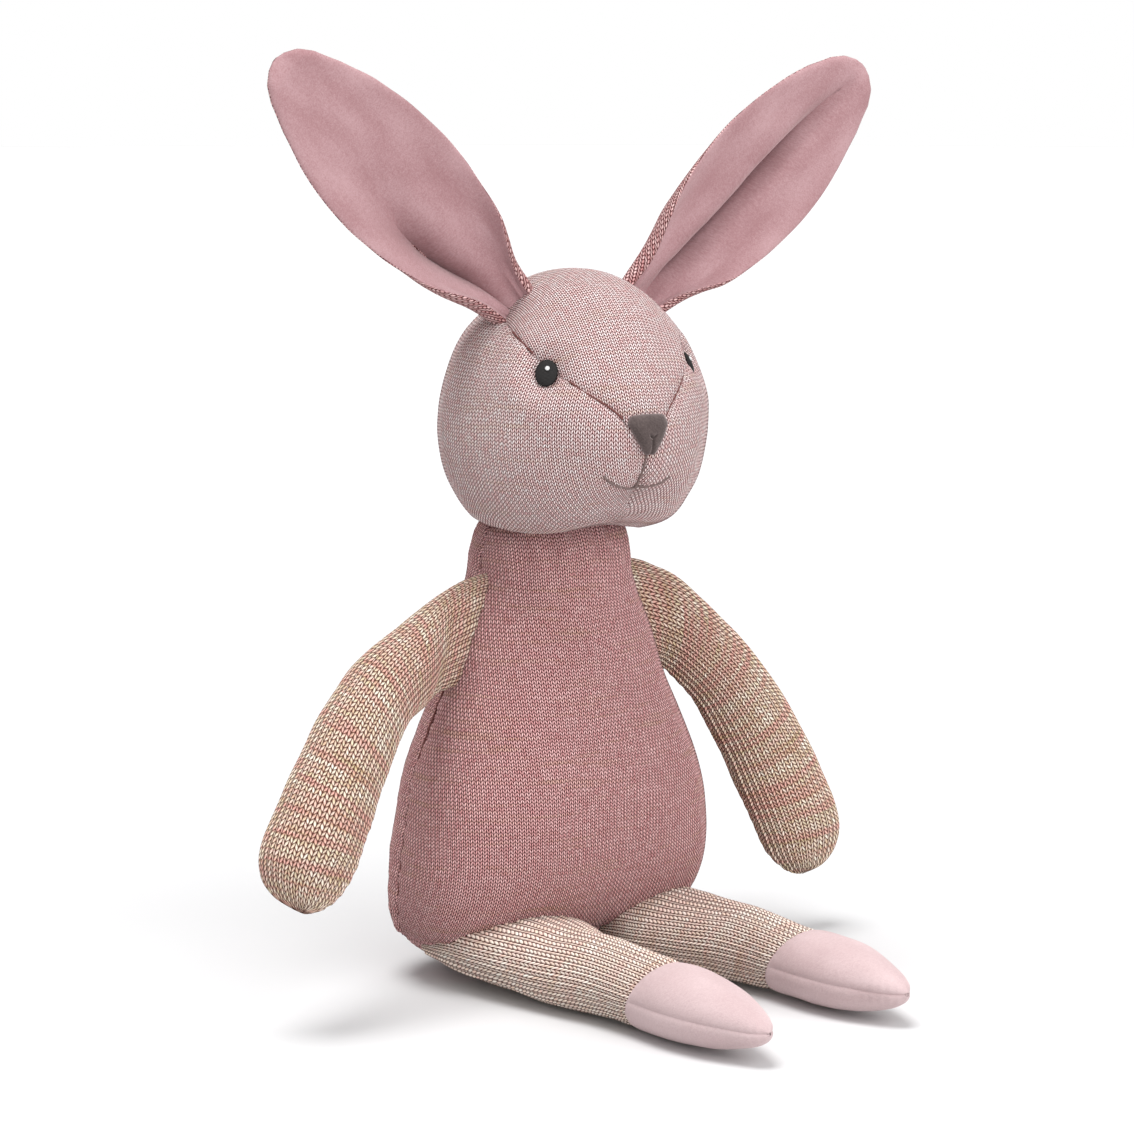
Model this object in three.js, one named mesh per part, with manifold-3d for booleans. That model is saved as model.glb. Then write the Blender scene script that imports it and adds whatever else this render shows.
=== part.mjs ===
// A knitted stuffed bunny, sitting. Millimetres, +Z up, facing -Y, its own right side at -X.
// The origin is on the flat seat, on the surface that the toy sits on, straight below the neck.
import * as THREE from "three";
import { mergeVertices } from "three/addons/utils/BufferGeometryUtils.js";
import Module from "manifold-3d";

const wasm = await Module();
wasm.setup();

// ---- driving dimensions -------------------------------------------------------------------
const OPEN_REACH = 5; // how far a cutting shape runs on past an open end
const FABRIC = 1.4; // thickness of the knit and velour
const GAP = 0.3; // clearance between neighbouring pieces
const SEAT_SEAM_Z = 13; // height of the seam that the legs are sewn into

const HEAD_CENTRE = [2, -9, 189];
const HEAD_TURN = -10; // degrees about Z, towards the toy's right
const NECK_PIVOT = [0, 0, 130]; // the head turns and nods about this point
const NECK_DOME_R = 30; // the stuffed top of the torso is a dome about the pivot
const NECK_WAD_R = 34.8;
const HEAD_SOCKET_R = 35.3;
const NECK_OPENING_Z = 148; // the body panels end here

const UNSTUFFED = 2; // steps along a limb before its stuffing begins

const EAR_LENGTH = 112;
const EAR_LEAN = 48; // degrees from vertical
const EAR_ROOT = { lon: 86, lat: 53, lift: 2.4 };
const EAR_LAYER = 1.7; // thickness of each of the ear's two layers
const EAR_SPLIT = 0.5; // half the gap between them

// Torso sections, bottom to top: height, half width, half depth, how far the middle lies back,
// and roundness: 1 is an ellipse, less is squarer.
const TORSO = [
  [0, 34, 17, 9, 0.8], [4, 44, 21, 9, 0.8], [9, 51, 24, 8.5, 0.8], [14, 54.5, 27, 7.5, 0.8],
  [20, 56, 30.5, 5.5, 0.82], [28, 57.5, 34, 3, 0.84], [38, 58.5, 36.5, 1, 0.87],
  [50, 57.5, 37.5, 0, 0.9], [68, 53.5, 37.5, 0, 0.94], [84, 47.5, 35.5, 0, 0.98],
  [98, 41, 33, 0, 1], [116, 35.5, 29.5, 0, 1], [130, 30.5, 28, 0, 1],
];
// Arm sections, shoulder to tip: outer edge x, z, inner edge x, z, half thickness, how far back.
const ARM = [
  [33.5, 134.5, 44, 98.5, 2.1, 0], [43.5, 129.5, 48, 96.5, 6.5, -1],
  [58, 121.5, 54.5, 92.5, 9.5, -3], [79.5, 106, 64, 84, 11, -7],
  [97, 86.5, 73, 69, 11.6, -12], [111, 65, 81, 52, 11.6, -17],
  [119.5, 48, 86.5, 40.5, 11, -20], [119.5, 38.5, 91.5, 33.5, 9, -21],
  [114.5, 31.5, 97.5, 29.5, 6, -21.5], [107, 28.4, 104.5, 28.1, 1.2, -21.5],
];
const SHOULDER = [38.5, 115]; // x, z
const ARM_RAISE = { left: -7, right: 9.5 }; // degrees that each arm is held up, from mid length on
// Leg sections, hip to toe: x, y, z, half width, half thickness.
const LEG = [
  [27, -21.5, 13, 22, 2.1], [27.5, -29, 13, 20.5, 5], [28.5, -38, 13.2, 18, 9],
  [29.5, -49, 13.2, 15, 11.8], [30, -62, 12.8, 12.8, 12], [30, -73, 12.2, 11.8, 11.4],
  [30, -85, 12, 12.6, 11.4], [30, -100, 12, 13.6, 11.4], [30, -116, 11.8, 12, 9.8],
  [30, -127, 11.6, 8, 6.4], [30, -132, 11.4, 1.2, 1],
];
const LEG_SPLAY = { left: [2, -4, 0], right: [2, -10, 0] }; // how far each toe is moved
const ANKLE_Y = -84; // where the knit meets the foot
const TOE_SEAM_Z = 11.6; // the seam between the foot's upper and its sole
const HIP_YAW = 15; // degrees that each hip seam is turned outwards
// Head radius by latitude, from the neck up: wide cheeks, a flat underside, a rounder crown.
const HEAD = [
  [-90, 43], [-75, 44.4], [-63, 47.6], [-50, 50], [-35, 48.4], [-17, 45.6],
  [4, 43], [25, 41.6], [47, 41.4], [70, 42.6], [90, 43],
];
const MUZZLE = { lat: -10, rise: 4.6, spread: 26 };
// Half width of the head's top gusset, by the angle from the nose over the crown to the nape.
const GUSSET = [[-4, 7], [12, 19], [30, 27], [60, 30], [90, 28], [130, 20], [165, 10]];
const GUSSET_FROM = -4;
const GUSSET_TO = 165;
const GUSSET_BLOCK = { near: 20, far: 70, steps: 12 }; // the block that cuts the gusset out
// Ear sections: share of the length, half width, how far the edges curl forward.
const EAR = [
  [0, 7, 6.5], [0.1, 9.8, 8], [0.18, 14, 8], [0.27, 17.6, 7.4], [0.38, 20.4, 6.6], [0.5, 21.8, 5.8],
  [0.62, 21, 5], [0.74, 18, 4], [0.85, 13.6, 3], [0.93, 9, 2], [0.98, 4.6, 1], [1, 1.4, 0.3],
];

// ---- materials -----------------------------------------------------------------------------
const material = (color, roughness = 0.95) =>
  new THREE.MeshStandardMaterial({ color, roughness, metalness: 0 });
const KNIT_HEAD = 0xd5a3a8;
const KNIT_BODY = 0xbb858b;
const KNIT_MARL = 0xc0a58f;
const VELOUR = 0xe2b0b2;
const NOSE_GREY = 0x6b6463;
const THREAD_GREY = 0x6a5a58;
const EYE_BLACK = 0x17130f;
const GLINT = 0xe6e6e6;
const FILLING = 0xf1eee8;

// ---- geometry helpers ----------------------------------------------------------------------
const radians = THREE.MathUtils.degToRad;
const vector = (x, y, z) => new THREE.Vector3(x, y, z);

/** A smooth curve through rows of numbers: u runs from 0 to the number of rows less 1. */
function along(rows, u) {
  const last = rows.length - 1;
  const i = Math.min(Math.floor(u), last - 1);
  const t = u - i;
  const [a, b, c, d] = [i - 1, i, i + 1, i + 2].map((k) => rows[Math.max(0, Math.min(last, k))]);
  return b.map((_, k) => {
    const bend = 2 * a[k] - 5 * b[k] + 4 * c[k] - d[k];
    const twist = -a[k] + 3 * b[k] - 3 * c[k] + d[k];
    return 0.5 * (2 * b[k] + (c[k] - a[k]) * t + bend * t * t + twist * t * t * t);
  });
}

/** The value at x of a smooth curve through [x, value] pairs in rising x. */
function lookUp(pairs, x) {
  const last = pairs.length - 1;
  if (x <= pairs[0][0]) return pairs[0].slice(1);
  if (x >= pairs[last][0]) return pairs[last].slice(1);
  const i = pairs.findIndex((p) => p[0] > x) - 1;
  const share = (x - pairs[i][0]) / (pairs[i + 1][0] - pairs[i][0]);
  return along(pairs.map((p) => p.slice(1)), i + share);
}

/** A closed skin over rings of an even number of points, with a flat end at each end. */
function skin(rings) {
  const around = rings[0].length;
  const faces = [];
  for (let r = 0; r + 1 < rings.length; r++) {
    for (let k = 0; k < around; k++) {
      const [a, b] = [r * around + k, r * around + ((k + 1) % around)];
      faces.push(a, b, b + around, a, b + around, a + around);
    }
  }
  for (const [start, flip] of [[0, true], [(rings.length - 1) * around, false]]) {
    for (let k = 0; k + 1 < around / 2; k++) {
      const [a, b, c, d] = [k, k + 1, around - 2 - k, around - 1 - k].map((i) => start + i);
      const quads = [a, b, c, a, c, d];
      faces.push(...(flip ? quads.reverse() : quads));
    }
  }
  return closed(rings.flat(), faces);
}

/** A geometry from points and triangles, turned so that its faces point out. */
function closed(points, faces) {
  let volume = 0;
  for (let i = 0; i < faces.length; i += 3) {
    const [a, b, c] = [points[faces[i]], points[faces[i + 1]], points[faces[i + 2]]];
    volume += a.dot(vector(0, 0, 0).crossVectors(b, c));
  }
  if (volume < 0) faces.reverse();
  const geometry = new THREE.BufferGeometry().setFromPoints(points);
  return geometry.setIndex(faces);
}

/** The same shape as a solid that can be cut and joined. */
function solid(geometry) {
  const bare = geometry.clone();
  bare.deleteAttribute("normal");
  bare.deleteAttribute("uv");
  const merged = mergeVertices(bare, 1e-4);
  const vertProperties = Float32Array.from(merged.attributes.position.array);
  const triVerts = Uint32Array.from(merged.index.array);
  return new wasm.Manifold(new wasm.Mesh({ numProp: 3, vertProperties, triVerts }));
}

/** A named mesh of a geometry or a cut solid. */
function piece(name, shape, color, roughness) {
  let geometry = shape;
  if (!shape.isBufferGeometry) {
    const { vertProperties, triVerts } = shape.getMesh();
    geometry = new THREE.BufferGeometry();
    geometry.setAttribute("position", new THREE.BufferAttribute(vertProperties, 3));
    geometry.setIndex(new THREE.BufferAttribute(triVerts, 1));
  }
  const mesh = new THREE.Mesh(geometry, material(color, roughness));
  mesh.name = name;
  return mesh;
}

const box = (low, high) => {
  const size = high.map((h, k) => h - low[k]);
  const geometry = new THREE.BoxGeometry(...size);
  return solid(geometry.translate(...low.map((l, k) => l + size[k] / 2)));
};
const ball = (radius, middle) =>
  solid(new THREE.SphereGeometry(radius, 28, 20).rotateX(Math.PI / 2).translate(...middle));

/**
 * A stuffed shape between two edges. Each row holds a point on each edge, x, y, z and x, y, z,
 * the half thickness there, which lies along flat, and its roundness, 1 where it isn't given.
 * inset shrinks it all round, and open carries it on past its first section.
 */
function stuffed(rows, flat, { inset = 0, skip = 0, open = false, steps, around }) {
  const to = rows.length - 1;
  const rings = [];
  for (let i = skip; i <= steps; i++) {
    const u = (to * i) / steps;
    const [here, before, after] = [u, Math.max(u - 0.02, 0), Math.min(u + 0.02, to)].map((at) => {
      const row = along(rows, at);
      const edges = [vector(...row.slice(0, 3)), vector(...row.slice(3, 6))];
      const side = edges[0].clone().sub(edges[1]).multiplyScalar(0.5);
      const middle = edges[0].add(edges[1]).multiplyScalar(0.5);
      return { side, middle, thick: row[6], roundness: row[7] ?? 1 };
    });
    const ahead = after.middle.clone().sub(before.middle);
    const grown = after.side.length() + after.thick - before.side.length() - before.thick;
    const slope = grown / 2 / ahead.length();
    const lean = Math.hypot(1, slope);
    ahead.normalize();
    const square = here.side.clone().cross(ahead).length() / here.side.length();
    const wide = Math.max(here.side.length() - inset / lean / square, 0.25);
    const thick = Math.max(here.thick - inset / lean, 0.25);
    const side = here.side.normalize();
    const middle = here.middle.addScaledVector(ahead, (inset * slope) / lean);
    rings.push(Array.from({ length: around }, (_, k) => {
      const angle = (2 * Math.PI * (k + 0.5)) / around;
      const [c, s] = [Math.cos(angle), Math.sin(angle)]
        .map((share) => Math.sign(share) * Math.abs(share) ** here.roundness);
      return middle.clone().addScaledVector(side, wide * c).addScaledVector(flat, thick * s);
    }));
    if (open && i === 0) {
      rings.unshift(rings[0].map((p) => p.clone().addScaledVector(ahead, -OPEN_REACH)));
    }
  }
  return skin(rings);
}

// ---- torso ---------------------------------------------------------------------------------
const FORWARD = vector(0, -1, 0);
const UP = vector(0, 0, 1);
const DOME = [15, 30, 45, 60, 75, 87].map((angle) => {
  const radius = NECK_DOME_R * Math.cos(radians(angle));
  return [NECK_PIVOT[2] + NECK_DOME_R * Math.sin(radians(angle)), radius, radius, 0, 1];
});
const TORSO_ROWS = [...TORSO, ...DOME.filter(([z]) => z > TORSO.at(-1)[0] + 2)]
  .map(([z, wide, deep, back, roundness]) => [wide, back, z, -wide, back, z, deep, roundness]);

function torso() {
  const grid = { steps: 17, around: 20 };
  const whole = solid(stuffed(TORSO_ROWS, FORWARD, grid));
  const inside = solid(stuffed(TORSO_ROWS, FORWARD, { ...grid, inset: FABRIC }));
  const fabric = whole.subtract(inside).subtract(box([-99, -99, NECK_OPENING_Z], [99, 99, 199]));
  const ahead = (gap) => box([-99, -99, SEAT_SEAM_Z - gap], [99, gap, 199]);
  return [
    piece("body_front", fabric.intersect(ahead(-GAP / 2)), KNIT_BODY),
    piece("body_back", fabric.subtract(ahead(GAP / 2)), KNIT_BODY),
    piece("body_stuffing", stuffed(TORSO_ROWS, FORWARD, { ...grid, inset: FABRIC + GAP }), FILLING),
  ];
}

// ---- neck ----------------------------------------------------------------------------------
function neck() {
  const rim = 38; // degrees from vertical where the wad ends
  const profile = [];
  const edge = (radius, angle) =>
    new THREE.Vector2(radius * Math.sin(radians(angle)), radius * Math.cos(radians(angle)));
  for (let angle = 0; angle <= rim; angle += rim / 4) profile.push(edge(NECK_DOME_R + GAP, angle));
  for (let angle = rim; angle > -1; angle -= rim / 4) profile.push(edge(NECK_WAD_R, angle));
  profile[0].x = profile.at(-1).x = 0;
  const wad = new THREE.LatheGeometry(profile, 20).rotateX(Math.PI / 2);
  const middle = edge((NECK_DOME_R + NECK_WAD_R) / 2, rim + 5);
  const ring = new THREE.TorusGeometry(middle.x, 1, 6, 24).translate(0, 0, middle.y);
  return [
    piece("neck_stuffing", solid(wad.translate(...NECK_PIVOT)), FILLING),
    piece("neck_stitches", solid(ring.translate(...NECK_PIVOT)), KNIT_HEAD),
  ];
}

// ---- head (about its own middle, facing -Y) ------------------------------------------------
const direction = (lon, lat) => {
  const [a, b] = [radians(lon), radians(lat)];
  return vector(Math.sin(a) * Math.cos(b), -Math.cos(a) * Math.cos(b), Math.sin(b));
};
const MUZZLE_DIRECTION = direction(0, MUZZLE.lat);
const headGroup = new THREE.Group();

/** A point lift millimetres off the head's surface. */
function onHead(lon, lat, lift = 0) {
  const way = direction(lon, lat);
  const away = THREE.MathUtils.radToDeg(way.angleTo(MUZZLE_DIRECTION)) / MUZZLE.spread;
  const radius = lookUp(HEAD, lat)[0] + MUZZLE.rise * Math.exp(-away * away);
  return way.multiplyScalar(radius + lift);
}

function headSolid(inset) {
  const [steps, around] = [14, 20];
  const rings = Array.from({ length: steps + 1 }, (_, i) => {
    const lat = -87 + (174 * i) / steps;
    return Array.from({ length: around }, (_, k) => onHead((360 * (k + 0.5)) / around, lat, -inset));
  });
  return solid(skin(rings));
}

/** A fan-shaped block about the head's X axis, as wide as the gusset and grow more each side. */
function gussetBlock(grow) {
  const { near, far, steps } = GUSSET_BLOCK;
  const [from, to] = [GUSSET_FROM - grow, GUSSET_TO + grow];
  const rings = Array.from({ length: steps + 1 }, (_, i) => {
    const angle = from + ((to - from) * i) / steps;
    const half = lookUp(GUSSET, angle)[0] + grow;
    const [c, s] = [Math.cos(radians(angle)), Math.sin(radians(angle))];
    const corners = [[-half, near], [half, near], [half, far], [-half, far]];
    return corners.map(([x, r]) => vector(x, -r * c, r * s));
  });
  return solid(skin(rings));
}

/** A pad on the head's surface, with its outline given as degrees from its middle by angle. */
function pad(name, { lon, lat }, outline, thick, color, base = GAP) {
  const [shells, around] = [2, 14];
  const at = (share, k, lift) => {
    const angle = (2 * Math.PI * k) / around;
    const reach = outline(angle) * share;
    const east = (reach * Math.cos(angle)) / Math.cos(radians(lat));
    return onHead(lon + east, lat + reach * Math.sin(angle), lift);
  };
  const rings = [];
  for (let s = 0.02; s < 1.01; s += 0.98 / shells) {
    rings.push(Array.from({ length: around }, (_, k) => at(s, k, base)));
  }
  for (let s = 1; s > 0; s -= 0.98 / shells) {
    const crown = base + thick * (0.35 + 0.65 * Math.sqrt(1 - s * s * 0.98));
    rings.push(Array.from({ length: around }, (_, k) => at(s, k, crown)));
  }
  return piece(name, skin(rings), color, 0.7);
}

/** A line of stitching that lies on the head's surface through lon, lat points. */
function stitchLine(name, route, radius, color) {
  const [steps, around] = [10, 6];
  const path = Array.from({ length: steps + 1 }, (_, i) =>
    onHead(...along(route, ((route.length - 1) * i) / steps), GAP + radius));
  const rings = path.map((p, i) => {
    const ahead = path[Math.min(i + 1, steps)].clone().sub(path[Math.max(i - 1, 0)]).normalize();
    const out = p.clone().normalize();
    const side = vector(0, 0, 0).crossVectors(ahead, out).normalize();
    return Array.from({ length: around }, (_, k) => {
      const angle = (2 * Math.PI * (k + 0.5)) / around;
      const across = p.clone().addScaledVector(side, radius * Math.cos(angle));
      return across.addScaledVector(out, radius * Math.sin(angle));
    });
  });
  return piece(name, skin(rings), color);
}

const EYE = { lon: 42.5, lat: 17 };
const EYE_THICK = 1.3;
const NOSE = { lon: 0, lat: -8.5 };
const PHILTRUM = [[0, -19.6], [0, -24], [0, -29]];
const SMILE = [[-16, -23.5], [-10, -28], [0, -31], [10, -28], [16, -23.5]];
const noseOutline = (angle) => {
  const corners = [0, 1, 2].map((k) => Math.PI / 2 + Math.PI / 3 + (2 * Math.PI * k) / 3);
  const nearest = Math.max(...corners.map((c) => Math.cos(angle - c - Math.PI / 3)));
  return 5.2 / Math.max(nearest, 0.56);
};
const ellipse = (wide, tall) => (angle) =>
  1 / Math.hypot(Math.cos(angle) / wide, Math.sin(angle) / tall);

function head() {
  const pivot = headGroup.worldToLocal(vector(...NECK_PIVOT));
  const socket = ball(HEAD_SOCKET_R, pivot);
  const fabric = headSolid(0).subtract(headSolid(FABRIC)).subtract(socket);
  const block = gussetBlock(GAP / 2);
  const sides = fabric.subtract(block);
  const half = (from, to) => sides.intersect(box([from, -99, -99], [to, 99, 99]));
  const pieces = [
    piece("head_gusset", fabric.intersect(gussetBlock(-GAP / 2)), KNIT_HEAD),
    piece("head_side_left", half(GAP / 2, 99), KNIT_HEAD),
    piece("head_side_right", half(-99, -GAP / 2), KNIT_HEAD),
    piece("head_stuffing", headSolid(FABRIC + GAP).subtract(socket), FILLING),
    pad("nose", NOSE, noseOutline, 2.4, NOSE_GREY),
    stitchLine("philtrum_stitch", PHILTRUM, 0.5, THREAD_GREY),
    stitchLine("mouth_stitch", SMILE, 0.5, THREAD_GREY),
  ];
  for (const [name, way] of [["left", 1], ["right", -1]]) {
    const eye = { lon: way * EYE.lon, lat: EYE.lat };
    const glint = { lon: way * EYE.lon + 0.6, lat: EYE.lat + 2.4 };
    const over = GAP + EYE_THICK + GAP;
    pieces.push(pad("eye_" + name, eye, ellipse(5.2, 6.4), EYE_THICK, EYE_BLACK));
    pieces.push(pad("eye_glint_" + name, glint, ellipse(1.3, 1.3), 0.4, GLINT, over));
  }
  return pieces;
}

// ---- ears ----------------------------------------------------------------------------------
function ear(name, way) {
  const root = onHead(way * EAR_ROOT.lon, EAR_ROOT.lat, EAR_ROOT.lift);
  const lean = radians(EAR_LEAN);
  const rise = vector(way * Math.sin(lean), 0, Math.cos(lean));
  const across = vector(Math.cos(lean), 0, -way * Math.sin(lean));
  const [steps, columns] = [13, 6];
  const layer = (low, high) => {
    const rings = Array.from({ length: steps + 1 }, (_, i) => {
      const share = (1 - Math.cos((Math.PI * i) / steps)) / 2;
      const [half, curl] = lookUp(EAR, share);
      const at = (v, lift) => root.clone().addScaledVector(rise, share * EAR_LENGTH)
        .addScaledVector(across, half * v).addScaledVector(FORWARD, curl * (v * v - 0.5) + lift);
      const row = Array.from({ length: columns + 1 }, (_, k) => -1 + (2 * k) / columns);
      return [...row.map((v) => at(v, low)), ...row.reverse().map((v) => at(v, high))];
    });
    return skin(rings);
  };
  return [
    piece(`ear_${name}_back`, layer(-EAR_LAYER - EAR_SPLIT, -EAR_SPLIT), KNIT_HEAD),
    piece(`ear_${name}_lining`, layer(EAR_SPLIT, EAR_LAYER + EAR_SPLIT), VELOUR),
  ];
}

// ---- arms ----------------------------------------------------------------------------------
function arm(name, way) {
  const rows = ARM.map(([xo, zo, xi, zi, thick, y], i) => {
    const raise = radians(ARM_RAISE[name]) * Math.min(1, i / 3);
    const raised = (x, z) => {
      const [dx, dz] = [x - SHOULDER[0], z - SHOULDER[1]];
      const out = SHOULDER[0] + dx * Math.cos(raise) - dz * Math.sin(raise);
      return [way * out, y, SHOULDER[1] + dx * Math.sin(raise) + dz * Math.cos(raise)];
    };
    return [...raised(xo, zo), ...raised(xi, zi), thick];
  });
  const grid = { steps: 15, around: 12 };
  const inside = solid(stuffed(rows, FORWARD, { ...grid, inset: FABRIC, open: true }));
  const sleeve = solid(stuffed(rows, FORWARD, grid)).subtract(inside);
  return [
    piece(`arm_${name}_knit`, sleeve, KNIT_MARL),
    piece(`arm_${name}_stuffing`,
      stuffed(rows, FORWARD, { ...grid, inset: FABRIC + GAP, skip: UNSTUFFED }), FILLING),
  ];
}

// ---- legs ----------------------------------------------------------------------------------
function leg(name, way) {
  const rows = LEG.map(([x, y, z, wide, thick], i) => {
    const yaw = radians(HIP_YAW) * Math.max(0, 1 - i / 3);
    const [dx, dy] = [wide * Math.cos(yaw), wide * Math.sin(yaw)];
    const [mx, my, mz] = LEG_SPLAY[name].map((d) => (d * i) / (LEG.length - 1));
    const edge = (share) => [way * (x + mx + share * dx), y + my + share * dy, z + mz];
    return [...edge(1), ...edge(-1), thick];
  });
  const grid = { steps: 15, around: 12 };
  const inside = solid(stuffed(rows, UP, { ...grid, inset: FABRIC, open: true }));
  const fabric = solid(stuffed(rows, UP, grid)).subtract(inside);
  const past = (y) => box([-99, -199, -9], [99, y, 99]);
  const foot = fabric.intersect(past(ANKLE_Y - GAP / 2));
  const above = (z) => box([-99, -199, z], [99, 0, 99]);
  const stuffing = stuffed(rows, UP, { ...grid, inset: FABRIC + GAP, skip: UNSTUFFED });
  return [
    piece(`leg_${name}_knit`, fabric.subtract(past(ANKLE_Y + GAP / 2)), KNIT_MARL),
    piece(`foot_${name}_upper`, foot.intersect(above(TOE_SEAM_Z + GAP / 2)), VELOUR),
    piece(`foot_${name}_sole`, foot.subtract(above(TOE_SEAM_Z - GAP / 2)), VELOUR),
    piece(`leg_${name}_stuffing`, stuffing, FILLING),
  ];
}

// ---- the toy -------------------------------------------------------------------------------
const SIDES = [["left", 1], ["right", -1]];
const bunny = new THREE.Group();
bunny.add(...torso(), ...neck());

headGroup.position.set(...HEAD_CENTRE);
headGroup.rotation.z = radians(HEAD_TURN);
headGroup.updateMatrixWorld();
headGroup.add(...head());
bunny.add(headGroup);

for (const [name, way] of SIDES) {
  headGroup.add(...ear(name, way));
  bunny.add(...arm(name, way), ...leg(name, way));
}

export default bunny;
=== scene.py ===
"""A sitting knitted bunny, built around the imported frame. Shapes are worked out in millimetres."""
import math
import bpy
import numpy as np
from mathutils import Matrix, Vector, kdtree


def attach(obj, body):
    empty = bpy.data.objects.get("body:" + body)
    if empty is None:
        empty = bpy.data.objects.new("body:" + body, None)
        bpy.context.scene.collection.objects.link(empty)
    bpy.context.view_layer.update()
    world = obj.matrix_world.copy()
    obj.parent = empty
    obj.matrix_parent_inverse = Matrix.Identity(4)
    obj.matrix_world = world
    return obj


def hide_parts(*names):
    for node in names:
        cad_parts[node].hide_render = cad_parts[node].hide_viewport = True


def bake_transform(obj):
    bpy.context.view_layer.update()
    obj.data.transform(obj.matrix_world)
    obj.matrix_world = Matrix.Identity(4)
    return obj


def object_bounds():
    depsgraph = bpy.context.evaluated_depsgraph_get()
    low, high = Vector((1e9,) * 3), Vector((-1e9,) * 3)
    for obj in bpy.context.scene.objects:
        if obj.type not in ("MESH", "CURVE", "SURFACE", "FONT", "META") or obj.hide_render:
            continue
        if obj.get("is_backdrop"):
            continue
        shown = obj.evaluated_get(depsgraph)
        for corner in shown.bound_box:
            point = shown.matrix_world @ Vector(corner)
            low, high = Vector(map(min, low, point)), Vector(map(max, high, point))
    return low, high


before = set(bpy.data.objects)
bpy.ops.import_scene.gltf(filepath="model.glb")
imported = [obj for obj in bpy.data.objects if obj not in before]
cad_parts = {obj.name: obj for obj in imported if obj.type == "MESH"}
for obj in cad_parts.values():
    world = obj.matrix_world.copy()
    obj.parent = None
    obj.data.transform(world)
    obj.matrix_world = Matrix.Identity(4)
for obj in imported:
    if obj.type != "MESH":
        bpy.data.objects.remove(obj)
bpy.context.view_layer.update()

MM = 0.001
WALE = 1.5  # width of one column of knit stitches
PER_WALE = 4  # mesh columns that one wale takes
ARM_WALE = 54 * WALE / 38  # the limbs are knitted more loosely
LEG_WALE = 52 * WALE / 36
SIDES = (("left", 1), ("right", -1))

# ---- driving rows ------------------------------------------------------------------------------
# The head and gusset rows are the frame's own. The torso, arms, legs, ears and eyes are shaped
# afresh: the torso's foot is up to 7 mm narrower on each side, the legs' roots are thicker and
# start further back, and the left eye lies 10.5 degrees further round than the frame's.
# Torso: height, half width, half depth, how far back, roundness.
TORSO = [
    [0, 28, 17, 9, 0.8], [4, 37, 21, 9, 0.8], [9, 46, 24, 7.5, 0.8], [14, 53.5, 27, 6, 0.8],
    [20, 57, 30.5, 3.5, 0.82], [28, 58.5, 34, 1.5, 0.84], [38, 58.5, 36.5, 0, 0.87],
    [50, 57, 37.5, -0.5, 0.9], [68, 53.5, 37.5, 0, 0.94], [84, 47.5, 35.5, 0, 0.98],
    [98, 41, 33, 0, 1], [116, 34.5, 29.5, 0, 1], [130, 28, 27, 0, 1],
    [137.8, 26.5, 26, 0, 1], [145, 24.5, 24.5, 0, 1], [151.2, 21.2, 21.2, 0, 1], [156, 15, 15, 0, 1],
]
# Arms: outer edge x, z, inner edge x, z, half thickness, how far back. The first row is tucked in.
ARM = [
    [19, 132, 31, 100.5, 1.2, 0],
    [28.5, 133.5, 38.5, 99, 3.2, 0], [43.5, 129.5, 48, 96.5, 5.6, -0.5],
    [58, 121.5, 54.5, 92.5, 8.8, -3], [79.5, 106, 64, 84, 11, -7],
    [97, 86.5, 73, 69, 11.6, -12], [111, 65, 81, 52, 11.6, -17],
    [119.5, 48, 86.5, 40.5, 11, -20], [119.5, 38.5, 91.5, 33.5, 9, -21],
    [114.5, 31.5, 97.5, 29.5, 6, -21.5], [107, 28.4, 104.5, 28.1, 1.2, -21.5],
]
SHOULDER = (38.5, 115)
ARM_RAISE = {"left": -7, "right": 9.5}
# Legs: x, y, z, half width, half thickness. The first row lies inside the torso's bottom seam.
LEG = [
    [28, -3, 12, 24, 6],
    [27.8, -17, 13, 25.4, 10.8], [28.2, -27, 13, 23.6, 11.8], [28.8, -37, 12.8, 20.4, 12.1],
    [29.5, -49, 12.6, 16.8, 12.2], [30, -62, 12.8, 13.8, 12.4], [30, -73, 12.4, 12.4, 11.8],
    [30, -85, 12, 12.6, 11.4], [30, -99, 11.8, 13.2, 11.2], [30, -113, 11.4, 11.2, 9.4],
    [30, -124, 11, 7.4, 6.4], [30, -129.5, 10.8, 4.2, 3.6], [30, -132.5, 10.8, 0.8, 0.7],
]
LEG_SPLAY = {"left": (2, -4, 0), "right": (2, -10, 0)}
HIP_YAW = 24
HEAD_CENTRE = np.array([2.0, -9.0, 189.0])
HEAD_TURN = math.radians(-10)
NECK_PIVOT = np.array([0.0, 0.0, 130.0])
HEAD_SOCKET_R = 35.0
HEAD = [
    [-90, 43], [-75, 44.4], [-63, 47.6], [-50, 50], [-35, 48.4], [-17, 45.6],
    [4, 43], [25, 41.6], [47, 41.4], [70, 42.6], [90, 43],
]
MUZZLE = {"lat": -10, "rise": 4.6, "spread": 26}
GUSSET = [[-4, 7], [12, 19], [30, 27], [60, 30], [90, 28], [130, 20], [165, 10]]
# Eyes and nose: longitude and latitude on the head, in degrees from the middle of the face.
# The eyes are not a matched pair: the left one lies further round and is smaller.
EYE = {"left": (53, 18), "right": (42.5, 18.5)}
EYE_REACH = {"left": (4.4, 5.6), "right": (5.3, 6.4)}  # half width and half height, in degrees
NOSE = (0, -6)
EAR_LENGTH = 112
EAR_LEAN = {"left": math.radians(50), "right": math.radians(46.5)}
EAR_THICK = 2.0
EAR_ROOT = (86, 53, 1.0)
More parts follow.
